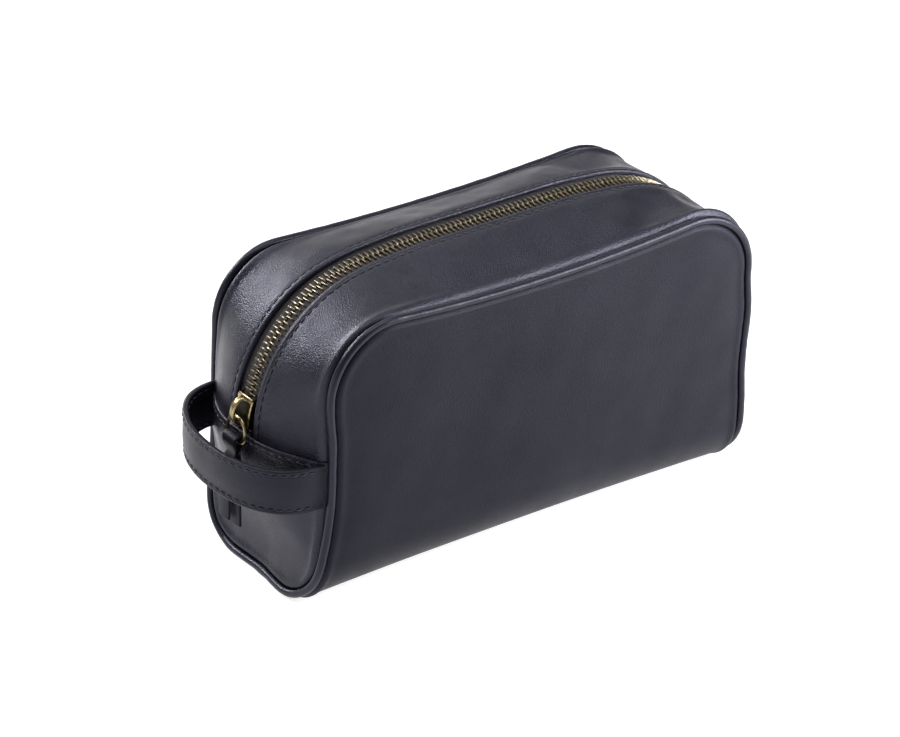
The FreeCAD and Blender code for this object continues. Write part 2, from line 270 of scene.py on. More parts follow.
def merge(name, meshes, material, crease_angle=50):
    """One object from several (points, faces) pairs."""
    points, faces, first = [], [], 0
    for part_points, part_faces in meshes:
        points.append(part_points)
        faces += [tuple(first + i for i in face) for face in part_faces]
        first += len(part_points)
    return make_object(name, np.concatenate(points), faces, material, crease_angle=crease_angle)


def dress(piece, slot, body, *nodes):
    """Give a piece its body, in place of the CAD nodes named; the slot is not used."""
    if nodes:
        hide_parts(*nodes)
    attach(piece, body)


def stitch_run(path, outward, pitch, dash, radius):
    """Threads along a path, as (mesh, middle): each rises out of the leather, lies on it and sinks."""
    total = length_of(path)
    count = int((total - dash) / pitch) + 1
    start = (total - (count - 1) * pitch) / 2
    along = distances_along(path)
    sink, proud = -0.45, 0.32
    shares = np.array([-0.5, -0.46, -0.36, -0.15, 0.15, 0.36, 0.46, 0.5])
    lifts = np.array([sink, -0.1, proud * 0.75, proud, proud, proud * 0.75, -0.1, sink])
    section = circle(radius, 6)
    meshes = []
    for i in range(count):
        places = start + i * pitch + shares * dash
        centre = between(path, along, places)
        lift = unit(between(outward, along, places))
        line = centre + lift * lifts[:, None]
        tangent = unit(np.gradient(line, axis=0))
        side = unit(np.cross(tangent, lift))
        rings = rings_along(line, section, side, np.cross(side, tangent))
        meshes.append((tube_mesh(rings), centre[3]))
    return meshes


# ---- materials

def new_material(name, roughness=0.5, sheen=0.0):
    material = bpy.data.materials.new(name)
    material.use_nodes = True
    tree = material.node_tree
    shader = tree.nodes["Principled BSDF"]
    shader.inputs["Roughness"].default_value = roughness
    shader.inputs["Sheen Weight"].default_value = sheen
    return material, tree, shader


def add(tree, kind, **values):
    node = tree.nodes.new(kind)
    for key, value in values.items():
        if key in node.inputs:
            node.inputs[key].default_value = value
        else:
            setattr(node, key, value)
    return node


def feed(tree, shader, socket, factor, stops):
    """Drive a shader's socket from a factor through a colour ramp of two stops."""
    node = tree.nodes.new("ShaderNodeValToRGB")
    for element, (place, colour) in zip(node.color_ramp.elements, stops):
        element.position = place
        element.color = (*colour, 1)
    tree.links.new(factor, node.inputs["Fac"])
    tree.links.new(node.outputs["Color"], shader.inputs[socket])


def grey(level):
    return (level, level, level)


def object_coords(tree):
    return tree.nodes.new("ShaderNodeTexCoord").outputs["Object"]


def noise(tree, per_metre, detail=4.0, roughness=0.55):
    node = add(tree, "ShaderNodeTexNoise", Scale=per_metre, Detail=detail, Roughness=roughness)
    tree.links.new(object_coords(tree), node.inputs["Vector"])
    return node.outputs["Fac"]


def wave_ribs(tree, per_metre, distortion, direction="DIAGONAL"):
    node = add(tree, "ShaderNodeTexWave", Scale=per_metre, Distortion=distortion, bands_direction=direction)
    tree.links.new(object_coords(tree), node.inputs["Vector"])
    return node.outputs["Fac"]


def bump_chain(tree, shader, layers):
    """Bump nodes in a row, from (height, strength, distance in metres)."""
    normal = None
    for height, strength, distance in layers:
        node = add(tree, "ShaderNodeBump", Strength=strength, Distance=distance)
        tree.links.new(height, node.inputs["Height"])
        if normal is not None:
            tree.links.new(normal, node.inputs["Normal"])
        normal = node.outputs["Normal"]
    tree.links.new(normal, shader.inputs["Normal"])


def leather_material(name, dark, light, rough, gloss, grain=0.8):
    """Smooth leather: mottled, with creases, pores and a fine grain."""
    material, tree, shader = new_material(name)
    feed(tree, shader, "Base Color", noise(tree, 26, 5), [(0.3, dark), (0.72, light)])
    feed(tree, shader, "Roughness", noise(tree, 60, 4), [(0.3, grey(rough[0])), (0.7, grey(rough[1]))])
    pores = add(tree, "ShaderNodeTexVoronoi", Scale=1650.0, feature="SMOOTH_F1")
    tree.links.new(object_coords(tree), pores.inputs["Vector"])
    bump_chain(tree, shader, [(noise(tree, 420, 5, 0.6), 0.2, 0.0003),
                              (pores.outputs["Distance"], grain, 0.0003),
                              (noise(tree, 3200, 3), 0.4, 0.00008)])
    shader.inputs["Specular IOR Level"].default_value = gloss
    shader.inputs["Specular Tint"].default_value = (0.76, 0.76, 1.0, 1.0)
    return material


def thread_material():
    material, tree, shader = new_material("navy_thread", 0.62)
    feed(tree, shader, "Base Color", noise(tree, 900),
         [(0.35, (0.004, 0.0045, 0.009)), (0.65, (0.014, 0.015, 0.026))])
    bump_chain(tree, shader, [(wave_ribs(tree, 900.0, 1.0, "X"), 0.5, 0.00008)])
    return material


def ribs(tree, distance, period):
    """Sine of a distance in millimetres, once every period."""
    turn = add(tree, "ShaderNodeMath", operation="MULTIPLY")
    turn.inputs[1].default_value = 2 * math.pi / period
    tree.links.new(distance, turn.inputs[0])
    sine = add(tree, "ShaderNodeMath", operation="SINE")
    tree.links.new(turn.outputs[0], sine.inputs[0])
    return sine.outputs[0]


def tape_material():
    """Woven zip tape: fine ribs along the chain, crossed by the weft."""
    material, tree, shader = new_material("zip_tape_weave", 0.85, 0.15)
    split = tree.nodes.new("ShaderNodeSeparateXYZ")
    strip = add(tree, "ShaderNodeAttribute", attribute_name="strip")
    tree.links.new(strip.outputs["Vector"], split.inputs["Vector"])
    weave = add(tree, "ShaderNodeMath", operation="MULTIPLY")
    tree.links.new(ribs(tree, split.outputs["X"], 0.55), weave.inputs[0])
    tree.links.new(ribs(tree, split.outputs["Y"], 0.8), weave.inputs[1])
    spread = add(tree, "ShaderNodeMapRange")
    spread.inputs["From Min"].default_value = -1
    tree.links.new(weave.outputs[0], spread.inputs["Value"])
    fuzz = noise(tree, 1800)
    feed(tree, shader, "Base Color", fuzz, [(0.3, (0.012, 0.009, 0.012)), (0.7, (0.035, 0.026, 0.03))])
    bump_chain(tree, shader, [(spread.outputs["Result"], 0.8, 0.00018), (fuzz, 0.3, 0.00006)])
    return material


def brass_material(name, dull, bright, rough):
    """Antiqued brass: dark in patches, rubbed bright elsewhere."""
    material, tree, shader = new_material(name)
    patches = noise(tree, 700, 5, 0.6)
    feed(tree, shader, "Base Color", patches, [(0.36, dull), (0.6, bright)])
    feed(tree, shader, "Roughness", patches, [(0.3, grey(rough[1])), (0.7, grey(rough[0]))])
    shader.inputs["Metallic"].default_value = 1.0
    bump_chain(tree, shader, [(noise(tree, 2600, 4), 0.12, 0.00004)])
    return material


def lining_material():
    """Dark twill: slanted ribs in the cloth."""
    material, tree, shader = new_material("lining_twill", 0.8, 0.2)
    fuzz = noise(tree, 1400)
    feed(tree, shader, "Base Color", fuzz, [(0.3, (0.02, 0.022, 0.032)), (0.7, (0.055, 0.06, 0.085))])
    bump_chain(tree, shader, [(wave_ribs(tree, 520.0, 0.6), 0.7, 0.0002), (fuzz, 0.3, 0.00008)])
    return material


def board_material():
    material, tree, shader = new_material("fibreboard", 0.9)
    flecks = noise(tree, 500, 6)
    feed(tree, shader, "Base Color", flecks, [(0.35, (0.2, 0.14, 0.08)), (0.7, (0.42, 0.32, 0.2))])
    bump_chain(tree, shader, [(flecks, 0.3, 0.0002)])
    return material


def cord_material():
    material, tree, shader = new_material("cotton_cord", 0.9)
    lay = wave_ribs(tree, 300.0, 1.5)
    feed(tree, shader, "Base Color", lay, [(0.2, (0.42, 0.4, 0.34)), (0.8, (0.68, 0.65, 0.57))])
    bump_chain(tree, shader, [(lay, 0.6, 0.0002)])
    return material


wrap_leather = leather_material("wrap_leather", (0.0055, 0.0055, 0.009), (0.0095, 0.0095, 0.0145),
                                rough=(0.42, 0.52), gloss=0.17, grain=0.5)
body_leather = leather_material("body_leather", (0.0045, 0.0045, 0.008), (0.0085, 0.0085, 0.0135),
                                rough=(0.31, 0.41), gloss=0.42)
strap_leather = leather_material("strap_leather", (0.004, 0.004, 0.0065), (0.0075, 0.0075, 0.0115),
                                 rough=(0.34, 0.44), gloss=0.27, grain=0.6)
welt_leather = leather_material("welt_leather", (0.004, 0.004, 0.007), (0.0075, 0.0075, 0.012),
                                rough=(0.3, 0.4), gloss=0.36, grain=0.3)
thread = thread_material()
tape_weave = tape_material()
teeth_brass = brass_material("teeth_brass", (0.08, 0.064, 0.04), (0.34, 0.29, 0.2), (0.26, 0.4))
slider_brass = brass_material("slider_brass", (0.25, 0.195, 0.1), (0.38, 0.305, 0.165), (0.24, 0.34))
# Near-black brass for the slider's plates: antique patina together with painted shade.
plate_patina_and_shade_brass = brass_material("plate_patina_and_shade_brass", (0.01, 0.008, 0.006), (0.03, 0.023, 0.014), (0.36, 0.5))
lining_twill = lining_material()


# ---- seam and chain outlines

def join_halves(left, right):
    """An outline from its left half and its right one, which is given as if it were on the left."""
    return np.concatenate([left, right[::-1][1:] * np.array([-1, 1, 1])])


def seam_reach(end, y, z):
    """Distance of the end seam's piping from the bag's middle: the ends spread near the ground."""
    ahead = np.clip(-y / half_depth, -1, 1)
    shift = 2.0 * smooth((z - 10) / 35) * (1 - smooth((z - 90) / 25)) * (ahead + 1) / 2
    if end == "left":
        shift = -shift
        flare = 3.2 + 2.4 * ahead
        kick = 3.6 * (1 - smooth((z - 2) / 16)) * bump(y + 24, 26)
        kick = kick + 3.2 * (1 - smooth((z - 4) / 36)) * smooth((y + 8) / 30)
    else:
        flare = 3.6
        kick = 1.9 * smooth((z - 55) / 45) * smooth(-y / 30)
    return half_length + kick + flare * (1 - smooth((z - 8) / 60)) + shift


def seam_half(end, side, inset, low):
    """Half of a side seam in the XZ plane, from low at one end to the middle of the top."""
    round_radius = seam_corners[end, side]
    corner_x = half_length - round_radius
    corner_z = seam_height - round_radius
    z = np.linspace(low, corner_z, 60)
    climb = np.stack([-seam_reach(end, side * half_depth, z) + inset, 0 * z, z], axis=1)
    tilt = math.radians(seam_sag_angle[side])
    turn = np.linspace(0, math.pi / 2 + tilt, 52)[1:]
    radius = round_radius - inset
    spread = seam_reach(end, side * half_depth, corner_z) - half_length
    corner = np.stack([-corner_x - (radius + spread) * np.cos(turn), 0 * turn,
                       corner_z + radius * np.sin(turn)], axis=1)
    bend = -corner[-1, 0] / math.sin(tilt)
    x = np.linspace(corner[-1, 0], 0, 90)[1:]
    centre_z = corner[-1, 2] + bend * math.cos(tilt)
    top = np.stack([x, 0 * x, centre_z - np.sqrt(bend ** 2 - x ** 2)], axis=1)
    return np.concatenate([climb, corner, top])


def seam_outline(side, inset=0.0, low=0.0):
    """Side seam in the XZ plane, from low on the left, over the top, to low on the right."""
    left = seam_half("left", side, inset, low)
    right = seam_half("right", side, inset, low)
    right[:, 2] += (left[-1, 2] - right[-1, 2]) * smooth((right[:, 2] - 120) / 25)
    return join_halves(left, right)


def chain_outline(low):
    """Zip chain's centre line in the XZ plane, the same way round."""
    z = np.linspace(low, chain_corner_z, 12)
    climb = np.stack([0 * z - chain_half_length, 0 * z, z], axis=1)
    turn = np.radians(np.linspace(0, 90, 120))[1:]
    corner = np.stack([-chain_corner_x - chain_radius * np.cos(turn), 0 * turn,
                       chain_corner_z + chain_radius * np.sin(turn)], axis=1)
    x = np.linspace(-chain_corner_x, 0, 60)[1:]
    top = np.stack([x, 0 * x, 0 * x + chain_corner_z + chain_radius], axis=1)
    left = np.concatenate([climb, corner, top])
    left[:, 2] += chain_crown * smooth((blend_start - np.abs(left[:, 0])) / 50)
    return join_halves(left, left)


def outward_of(line):
    """Outward normals of an outline that runs from -X over the top to +X."""
    tangent = unit(np.gradient(line, axis=0))
    return np.stack([-tangent[:, 2], 0 * tangent[:, 0], tangent[:, 0]], axis=1)


seam_lines = {side: seam_outline(side, low=gusset_low) for side in (-1, 1)}
chain_line = chain_outline(gusset_low)
chain_total = length_of(chain_line)


def line_at(line, share):
    """Places and outward directions at shares of a line's length."""
    along = distances_along(line)
    along = along / along[-1]
    return between(line, along, share), unit(between(outward_of(line), along, share))


def rise(q):
    """How far the leather has climbed, share by share of its way across: steep first, then flat."""
    return np.sin(np.clip(q, 0, 1) * math.pi / 2) ** 0.92


# Dents of the gusset's top, one list for each half: distance from the middle along the bag, distance
# from the zip's channel, half length, half width and depth.
dents = {
    -1: [(84, 19, 14, 12, 3.3), (113, 15, 8, 9, 1.8), (58, 26, 9, 8, -0.9), (18, 16, 26, 9, 1.2),
         (-62, 16, 16, 9, 1.0)],
    1: [(82, 16, 13, 12, 2.6), (60, 24, 9, 8, -0.9), (108, 18, 9, 10, 1.4), (-10, 18, 30, 9, 1.1),
        (-70, 16, 14, 9, 0.9)],
}


def ridge_height(along, side):
    """The gusset's edge stands up behind the piping, most of all round the right corner."""
    right = bump(along - 118, 30)
    return 1.0 + (3.0 if side < 0 else 1.4) * right + 0.5 * bump(along + 118, 34)


def gusset_surface(side, share, depth):
    """Gusset leather's outer face, or one lying depth below it, at shares along and rows across."""
    tuck = [seam_y + 1.6, seam_y + 0.7]
    y = np.concatenate([tuck, np.linspace(seam_y, seam_y - 8, 17),
                        np.linspace(seam_y - 9.3, channel + 8, 18),
                        np.linspace(channel + 7, channel + 1.1, 13)])
    seam, seam_out = line_at(seam_lines[side], share)
    chain, chain_out = line_at(chain_line, share)
    q = (seam_y - y) / (seam_y - channel)
    climb = rise(q)[None, :, None]
    top = chain + chain_out * gusset_rise
    points = seam[:, None] + (top - seam)[:, None] * climb
    points[..., 1] = side * y[None, :]
    out = unit(seam_out[:, None] * (1 - climb) + chain_out[:, None] * climb)
    from_seam = np.clip(seam_y - y, 0, None)[None, :]
    from_edge = (y - channel)[None, :]
    along = (share[:, None] - 0.5) * chain_total + 0 * y[None, :]
    lift = ridge_height(along, side) * bump(from_seam - 3.8, 2.4) * smooth(from_seam / 2)
    lift = lift - 2.2 * bump(from_seam, 1.3) - 1.6 * (y > seam_y)[None, :]
    lift = lift - 0.34 * bump(from_edge - zip_stitch_line, 0.8) + 0.4 * bump(from_edge - 1.6, 1.2)
    open_field = smooth((from_seam - 2) / 8) * smooth((from_edge - 4) / 8)
    wave = 0.34 * ripple(points, 46, 5 + side) + 0.14 * ripple(points, 17, 11 + side)
    for place, away, length, width, deep in dents[side]:
        wave = wave - deep * np.exp(-((along - place) / length) ** 2 - ((from_edge - away) / width) ** 2)
    lift = lift + wave * open_field
    return points + out * (lift[..., None] - depth), out, y


def gusset_piece(side, shares):
    """Outer and inner grids of one gusset half, with its edge folded down beside the zip."""
    outer, out, _ = gusset_surface(side, shares, 0)
    inner = outer - out * leather
    edge = outer[:, -1]
    edge_out = out[:, -1]
    across = np.zeros_like(edge)
    across[:, 1] = side
    fold_outer, fold_inner = [], []
    radius = 1.1
    for turn in np.radians([22, 45, 67, 90]):
        drop = radius * (1 - math.cos(turn))
        fold_outer.append(edge - across * radius * math.sin(turn) - edge_out * drop)
        fold_inner.append(edge + across * 0.25 - edge_out * leather)
    for drop in (1.7, 2.3):
        fold_outer.append(edge - across * radius - edge_out * drop)
        fold_inner.append(edge - across * 0.1 - edge_out * (1.4 + drop / 2))
    outer = np.concatenate([outer, np.stack(fold_outer, axis=1)], axis=1)
    inner = np.concatenate([inner, np.stack(fold_inner, axis=1)], axis=1)
    return outer, inner


halves = {"left": np.linspace(0, 0.5, 150), "right": np.linspace(0.5, 1, 150)}
side_name = {-1: "front", 1: "back"}


def open_with_flap(piece, side, end, slot, *nodes):
    """Hide the CAD nodes named and bake the piece's placement into its points."""
    if nodes:
        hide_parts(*nodes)
    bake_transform(piece)


def build_gussets():
    for side, name in side_name.items():
        for end, shares in halves.items():
            outer, inner = gusset_piece(side, shares)
            piece = shell(name + "_gusset_" + end, outer, inner, body_leather, flip=side > 0)
            open_with_flap(piece, side, end, "leather", name + "_gusset", name + "_gusset_flap")
            lined, out, _ = gusset_surface(side, shares, gusset_lining_depth)
            lined, out = lined[:, 3:], out[:, 3:]
            cloth = shell(name + "_gusset_" + end + "_lining", lined, lined - out * cloth_thickness,
                          lining_twill, flip=side > 0)
            open_with_flap(cloth, side, end, "lining", name + "_lining_gusset", name + "_lining_gusset_flap")


def build_zip_stitches():
    """A row of thread along each gusset half, beside the zip."""
    shares = np.linspace(0.02, 0.98, 700)
    for side, name in side_name.items():
        grid, out, y = gusset_surface(side, shares, 0)
        row = int(np.argmin(np.abs(y - channel - zip_stitch_line)))
        stitches = stitch_run(grid[:, row], out[:, row], *body_stitch)
        for end in halves:
            chosen = [mesh for mesh, centre in stitches if (centre[0] < 0) == (end == "left")]
            piece = merge(name + "_zip_stitches_" + end, chosen, thread, 0)
            open_with_flap(piece, side, end, "strap_leather")


# ---- body wrap

def roll_radius(u):
    """The base rolls a little wider in the middle of the bag than at its ends."""
    return 26 + 5 * (1 - np.abs(u) ** 2.2)


def seam_top_at(side, x):
    """Height of the wrap's top edge over a place along the bag."""
    line = seam_outline(side, inset=wrap_inset)
    above = line[line[:, 2] > 112]
    above = above[np.argsort(above[:, 0])]
    return np.interp(np.clip(x, above[0, 0], above[-1, 0]), above[:, 0], above[:, 2])


def face_column(u, side):
    """One column of a face, from the top seam down to the ground, and on to the base's middle."""
    end = "left" if u < 0 else "right"
    z_top = float(seam_top_at(side, u * (half_length - wrap_inset)))
    radius = roll_radius(u)
    down = np.concatenate([np.linspace(0, 0.09, 9)[:-1], np.linspace(0.09, 1, 60)])
    z = z_top - (z_top - radius) * down
    out_y = half_depth + 0.6
    reach = seam_reach(end, side * half_depth, z) - wrap_inset
    face = np.stack([u * reach, side * out_y + 0 * z, z], axis=1)
    bend = np.radians(np.linspace(0, 90, 17))[1:]
    flat = out_y - radius
    y = np.concatenate([flat + radius * np.cos(bend), np.linspace(flat, 0, 14)[1:]]) * side
    z = np.concatenate([radius * (1 - np.sin(bend)), np.zeros(13)])
    under = np.stack([u * (seam_reach(end, y, z) - wrap_inset), y, z], axis=1)
    return np.concatenate([face, under])


def distance_to_seams(grid):
    """Distance of each point of the wrap from the nearest piping."""
    near = np.full(grid.shape[:2], 1e9)
    for side in (-1, 1):
        edge = seam_outline(side)[:, [0, 2]]
        chosen = grid[..., 1] * side > -1e-6
        flat_points = grid[chosen][:, [0, 2]]
        for chunk in np.array_split(edge, 40):
            gaps = np.linalg.norm(flat_points[:, None] - chunk[None], axis=2)
            near[chosen] = np.minimum(near[chosen], gaps.min(axis=1))
    for end, way in (("left", -1), ("right", 1)):
        gap = seam_reach(end, grid[..., 1], grid[..., 2]) - way * grid[..., 0]
        near = np.where(grid[..., 2] < 40, np.minimum(near, gap), near)
    return near


def body_grid(depth):
    """Wrap's points and outward directions, at a depth below its outer face.

    Columns run from left to right, rows from the front's top, under the base, to the back's top.
    """
    turn = np.radians(np.linspace(0, 90, 26))
    corner_zone = 37.0
    corner = (half_length - corner_zone) / (half_length - wrap_inset)
    side_u = corner + (1 - corner) * np.sin(turn)
    columns = np.concatenate([-side_u[::-1], np.linspace(-corner, corner, 72)[1:-1], side_u])
    grid = np.array([np.concatenate([face_column(u, -1), face_column(u, 1)[::-1][1:]]) for u in columns])
    out = unit(np.cross(np.gradient(grid, axis=1), np.gradient(grid, axis=0)))
    middle_height = 60.0
    from_axis = grid * np.array([0, 1, 1]) - np.array([0, 0, middle_height])
    out = out * np.where((out * from_axis).sum(axis=2) < 0, -1, 1)[..., None]
    near = distance_to_seams(grid)
    upright = smooth(grid[..., 2] / 45)
    lift = 0.7 * bump(near - 4.8, 2.2) - 2.4 * bump(near - 1.0, 1.5)
    lift = lift + upright * 3.4 * (1 - np.exp(-np.clip(near, 0, None) / 26))
    waves = 0.6 * ripple(grid, 85, 21) + 0.18 * ripple(grid, 30, 22)
    lift = lift + waves * upright * smooth(near / 22) + (1 - upright) * 0.4
    grid = grid + out * (lift[..., None] - depth)
    grid[..., 2] = np.maximum(grid[..., 2], 0.15 + depth)
    return grid, out


def build_body():
    outer, _ = body_grid(0)
    inner, _ = body_grid(leather)
    dress(shell("body_wrap", outer, inner, wrap_leather, flip=True), "leather", "root", "body_panel")
    lined, out = body_grid(body_lining_depth)
    lined, out = lined[2:-2, 4:-4], out[2:-2, 4:-4]
    cloth = shell("body_lining", lined, lined - out * cloth_thickness, lining_twill, flip=True)
    dress(cloth, "lining", "root", "lining_body")


# ---- end panels

def end_half_width(z):
    """Half the depth of the bag's end at a height: narrower where its base rolls in."""
    drop = np.clip(base_low + base_roll - z, 0, base_roll)
    return half_depth - base_roll + np.sqrt(base_roll ** 2 - drop ** 2)


def hem_line(y):
    """Height of an end panel's top edge, which droops a little to its sides."""
    return hem_height + 0.4 - 1.9 * (y / seam_y) ** 2


def end_bulge(z):
    """How far the end stands out beyond its seams at its middle."""
    return 1.0 + (chain_half_length + gusset_rise - half_length - 1.0) * smooth((z - 2) / 74) ** 0.85


def end_surface(end):
    """An end panel's points, as on the left: columns from front to back by rows from seam to hem."""
    turn = np.radians(np.linspace(0, 90, 24))
    flat = half_depth - base_roll
    roll = base_roll - 1.6
    roll_width = seam_y + 0.9 - flat
    y_side = flat + roll_width * np.sin(turn)
    y = np.concatenate([-y_side[::-1], np.linspace(-flat, flat, 34)[1:-1], y_side])
    past_flat = np.clip(np.abs(y) - flat, 0, None) / roll_width
    low_z = base_low + base_roll - roll * np.sqrt(np.clip(1 - past_flat ** 2, 0, 1))
    rows = np.concatenate([np.linspace(0, 0.12, 12), np.linspace(0.12, 0.93, 46)[1:],
                           np.linspace(0.93, 1, 10)[1:]])
    z = low_z[:, None] + (hem_line(y) - low_z)[:, None] * rows[None, :]
    width = np.minimum(seam_y, end_half_width(z) - 1.8)
    side = np.abs(y)[:, None] + 0 * z
    q = (width - side) / (width - channel)
    seam = seam_reach(end, y[:, None] + 0 * z, z)
    over = 1.9 * smooth((z - 50) / 22)
    reach = seam + (half_length + end_bulge(z) - seam) * rise(q) + over
    low_reach = seam_reach(end, y, low_z)[:, None]
    reach = low_reach + (reach - low_reach) * rise((z - low_z[:, None]) / 36)
    edge_gap = np.clip(np.minimum(width - side, z - low_z[:, None] + 0.5), 0, None)
    reach = reach - 2.2 * bump(edge_gap, 1.4) + 1.0 * bump(edge_gap - 3.8, 2.0)
    hem_gap = hem_line(y)[:, None] - z
    reach = reach - 0.3 * bump(hem_gap - hem_stitch_line, 0.7) + 0.25 * bump(hem_gap - 1.2, 0.7)
    points = np.stack([-reach, y[:, None] + 0 * z, z], axis=2)
    field = smooth(edge_gap / 12) * smooth(hem_gap / 6)
    points[..., 0] -= field * (0.5 * ripple(points, 42, 31) + 0.15 * ripple(points, 15, 33))
    out = unit(np.cross(np.gradient(points, axis=0), np.gradient(points, axis=1)))
    if out[len(y) // 2, 20, 0] > 0:
        out = -out
    return points, out, y


def build_end(end):
    """End panel with its turned top edge, its row of stitches and its lining."""
    mirror = np.array([1 if end == "left" else -1, 1, 1])
    flip = end == "right"
    points, out, y = end_surface(end)
    top = points[:, -1]
    radius = 0.9
    up = np.array([0, 0, 1.0])
    inward = np.array([1.0, 0, 0])
    fold = [top + up * radius * math.sin(turn) + inward * radius * (1 - math.cos(turn))
            for turn in np.radians([25, 50, 75, 105, 130, 155])]
    core = [top + inward * 0.95] * len(fold)
    outer = np.concatenate([points, np.stack(fold, axis=1)], axis=1)
    inner = np.concatenate([points - out * leather, np.stack(core, axis=1)], axis=1)
    panel = shell(end + "_end_panel_leather", outer * mirror, inner * mirror, body_leather, flip=flip)
    dress(panel, "leather", "root", end + "_end_panel")
    hem_row = int(np.argmin(np.abs(points[len(y) // 2, :, 2] - (hem_line(0) - hem_stitch_line))))
    keep = np.abs(y) < seam_y - 3
    run = stitch_run(points[keep, hem_row] * mirror, out[keep, hem_row] * mirror, *body_stitch)
    dress(merge(end + "_hem_stitches", [mesh for mesh, _ in run], thread, 0), "strap_leather", "root")
    inside = (slice(3, -3), slice(3, -14))
    lined = (points - out * end_lining_depth)[inside]
    backing = lined - out[inside] * cloth_thickness
    cloth = shell(end + "_end_lining", lined * mirror, backing * mirror, lining_twill, flip=flip)
    dress(cloth, "lining", "root", "lining_" + end + "_end")


# ---- piping

def welt_path():
    """The closed seam loop: front over the top, right end's bottom, back, left end's bottom."""
    low = base_low + base_roll
    front = spaced(seam_outline(-1, low=low), 1.2) + np.array([0, -half_depth, 0])
    back = spaced(seam_outline(1, low=low), 1.2)[::-1] + np.array([0, half_depth, 0])
    turn = np.radians(np.linspace(0, 90, 28))
    flat = half_depth - base_roll
    roll_y = -flat - base_roll * np.cos(turn)
    roll_z = low - base_roll * np.sin(turn)
    base_y = np.linspace(-flat, flat, 40)[1:-1]
    y = np.concatenate([roll_y, base_y, -roll_y[::-1]])[1:-1]
    z = np.concatenate([roll_z, 0 * base_y + base_low, roll_z[::-1]])[1:-1]
    right = np.stack([seam_reach("right", y, z), y, z], axis=1)
    left = np.stack([-seam_reach("left", y, z), y, z], axis=1)
    loop = np.concatenate([front, right, back, left[::-1]])
    return spaced(np.concatenate([loop, loop[:1]]), 1.2, closed=True)


def build_piping():
    """Leather cover, thicker at its join under the left end, with a cord in it."""
    path = welt_path()
    middle = np.array([0, 0, 70.0])
    side = unit(np.cross(loop_tangent(path), unit(path - middle)))
    up = np.cross(side, loop_tangent(path))
    swell = 1 + 0.02 * ripple(path, 14, 41) + 0.012 * ripple(path, 6, 42)
    under_left = (path[:, 0] < 0) & (path[:, 2] < 4)
    from_join = np.where(under_left, np.abs(path[:, 1] + 3), 99)
    swell = (swell + 0.16 * smooth(1 - from_join / 7))[:, None]
    section = circle(1.0, 18)
    rings = rings_along(path, section, side * swell * welt_radius, up * swell * welt_radius)
    rings[..., 2] = np.maximum(rings[..., 2], 0.02)
    points, faces = tube_mesh(rings, closed=True)
    cover = make_object("welt_cover", points, faces, welt_leather, crease_angle=0)
    dress(cover, "strap_leather", "root", "piping_cover")
    points, faces = tube_mesh(rings_along(path, section * cord_radius, side, up), closed=True)
    core = make_object("welt_cord", points, faces, cord_material(), crease_angle=0)
    dress(core, "cord", "root", "piping_core")


# ---- zip

def tooth_rings():
    """Rings of one tooth from its clamp on the tape to its nose, as (along, across, up)."""
    # Each station: place across the chain, half length along it, half height, lift.
    stations = [(-4.4, 0.16, 0.55, -0.1), (-4.3, 0.34, 1.0, 0), (-3.9, 0.38, 1.25, 0), (-1.9, 0.37, 1.28, 0),
                (-1.2, 0.4, 1.32, 0), (-0.3, 0.5, 1.2, 0), (0.4, 0.5, 0.95, -0.15), (0.9, 0.42, 0.6, -0.3),
                (1.15, 0.2, 0.3, -0.35)]
    rings = []
    for across, half, height, lift in stations:
        ring = rounded_bar(2 * half, 2 * height, min(half, height) * 0.55, 2)
        rings.append(np.stack([ring[:, 0], 0 * ring[:, 0] + across, ring[:, 1] + lift], axis=1))
    return np.array(rings)


def build_teeth():
    """Single teeth, half a pitch apart from row to row."""
    pitch = 3.0
    pattern = tooth_rings()
    just_past_middle = 0.001
    first = hem_height - gusset_low + 5.0
    count = int((chain_total / 2 - first) / pitch)
    for side, name in side_name.items():
        groups = {"left": [], "right": []}
        shift = 0.0 if side < 0 else pitch / 2
        distances = chain_total / 2 + shift + pitch * np.arange(-count, count)
        for place, lift in zip(*line_at(chain_line, distances / chain_total)):
            along = np.array([lift[2], 0, -lift[0]])
            across = np.array([0, -side, 0.0])
            rings = place + pattern[..., :1] * along + pattern[..., 1:2] * across + pattern[..., 2:] * lift
            points, faces = tube_mesh(rings)
            if side > 0:
                faces = [face[::-1] for face in faces]
            groups["left" if place[0] < just_past_middle else "right"].append((points, faces))
        for end, meshes in groups.items():
            piece = merge(name + "_teeth_" + end, meshes, teeth_brass, 40)
            nodes = ("zip_teeth_" + name + "_" + end, "zip_teeth_" + name + "_top")
            open_with_flap(piece, side, end, "zip_brass", *nodes)


def build_tapes():
    """Each tape is thick under its teeth, where it has its cord, and thins out below the leather."""
    rows = np.array([0.45, 0.7, 1.6, 3.0, 4.4, 5.0, 6.0, 7.0, 8.0, 9.5, 12.0, 15.0])
    lift = np.array([0.0, 0.35, 0.35, 0.35, 0.3, 0.1, 0, 0, 0, 0, -0.1, -0.2])
    for side, name in side_name.items():
        for end, shares in halves.items():
            place, out = line_at(chain_line, shares)
            outer = place[:, None] + out[:, None] * (tape_level + lift + 0.3)[None, :, None]
            inner = place[:, None] + out[:, None] * (tape_level - lift * 0.8 - 0.3)[None, :, None]
            for grid in (outer, inner):
                grid[..., 1] = side * rows[None, :]
            piece = shell(name + "_tape_" + end, outer, inner, tape_weave, across=rows, flip=side < 0)
            nodes = ("zip_tape_" + name + "_" + end, "zip_tape_" + name + "_top")
            open_with_flap(piece, side, end, "zip_tape", *nodes)


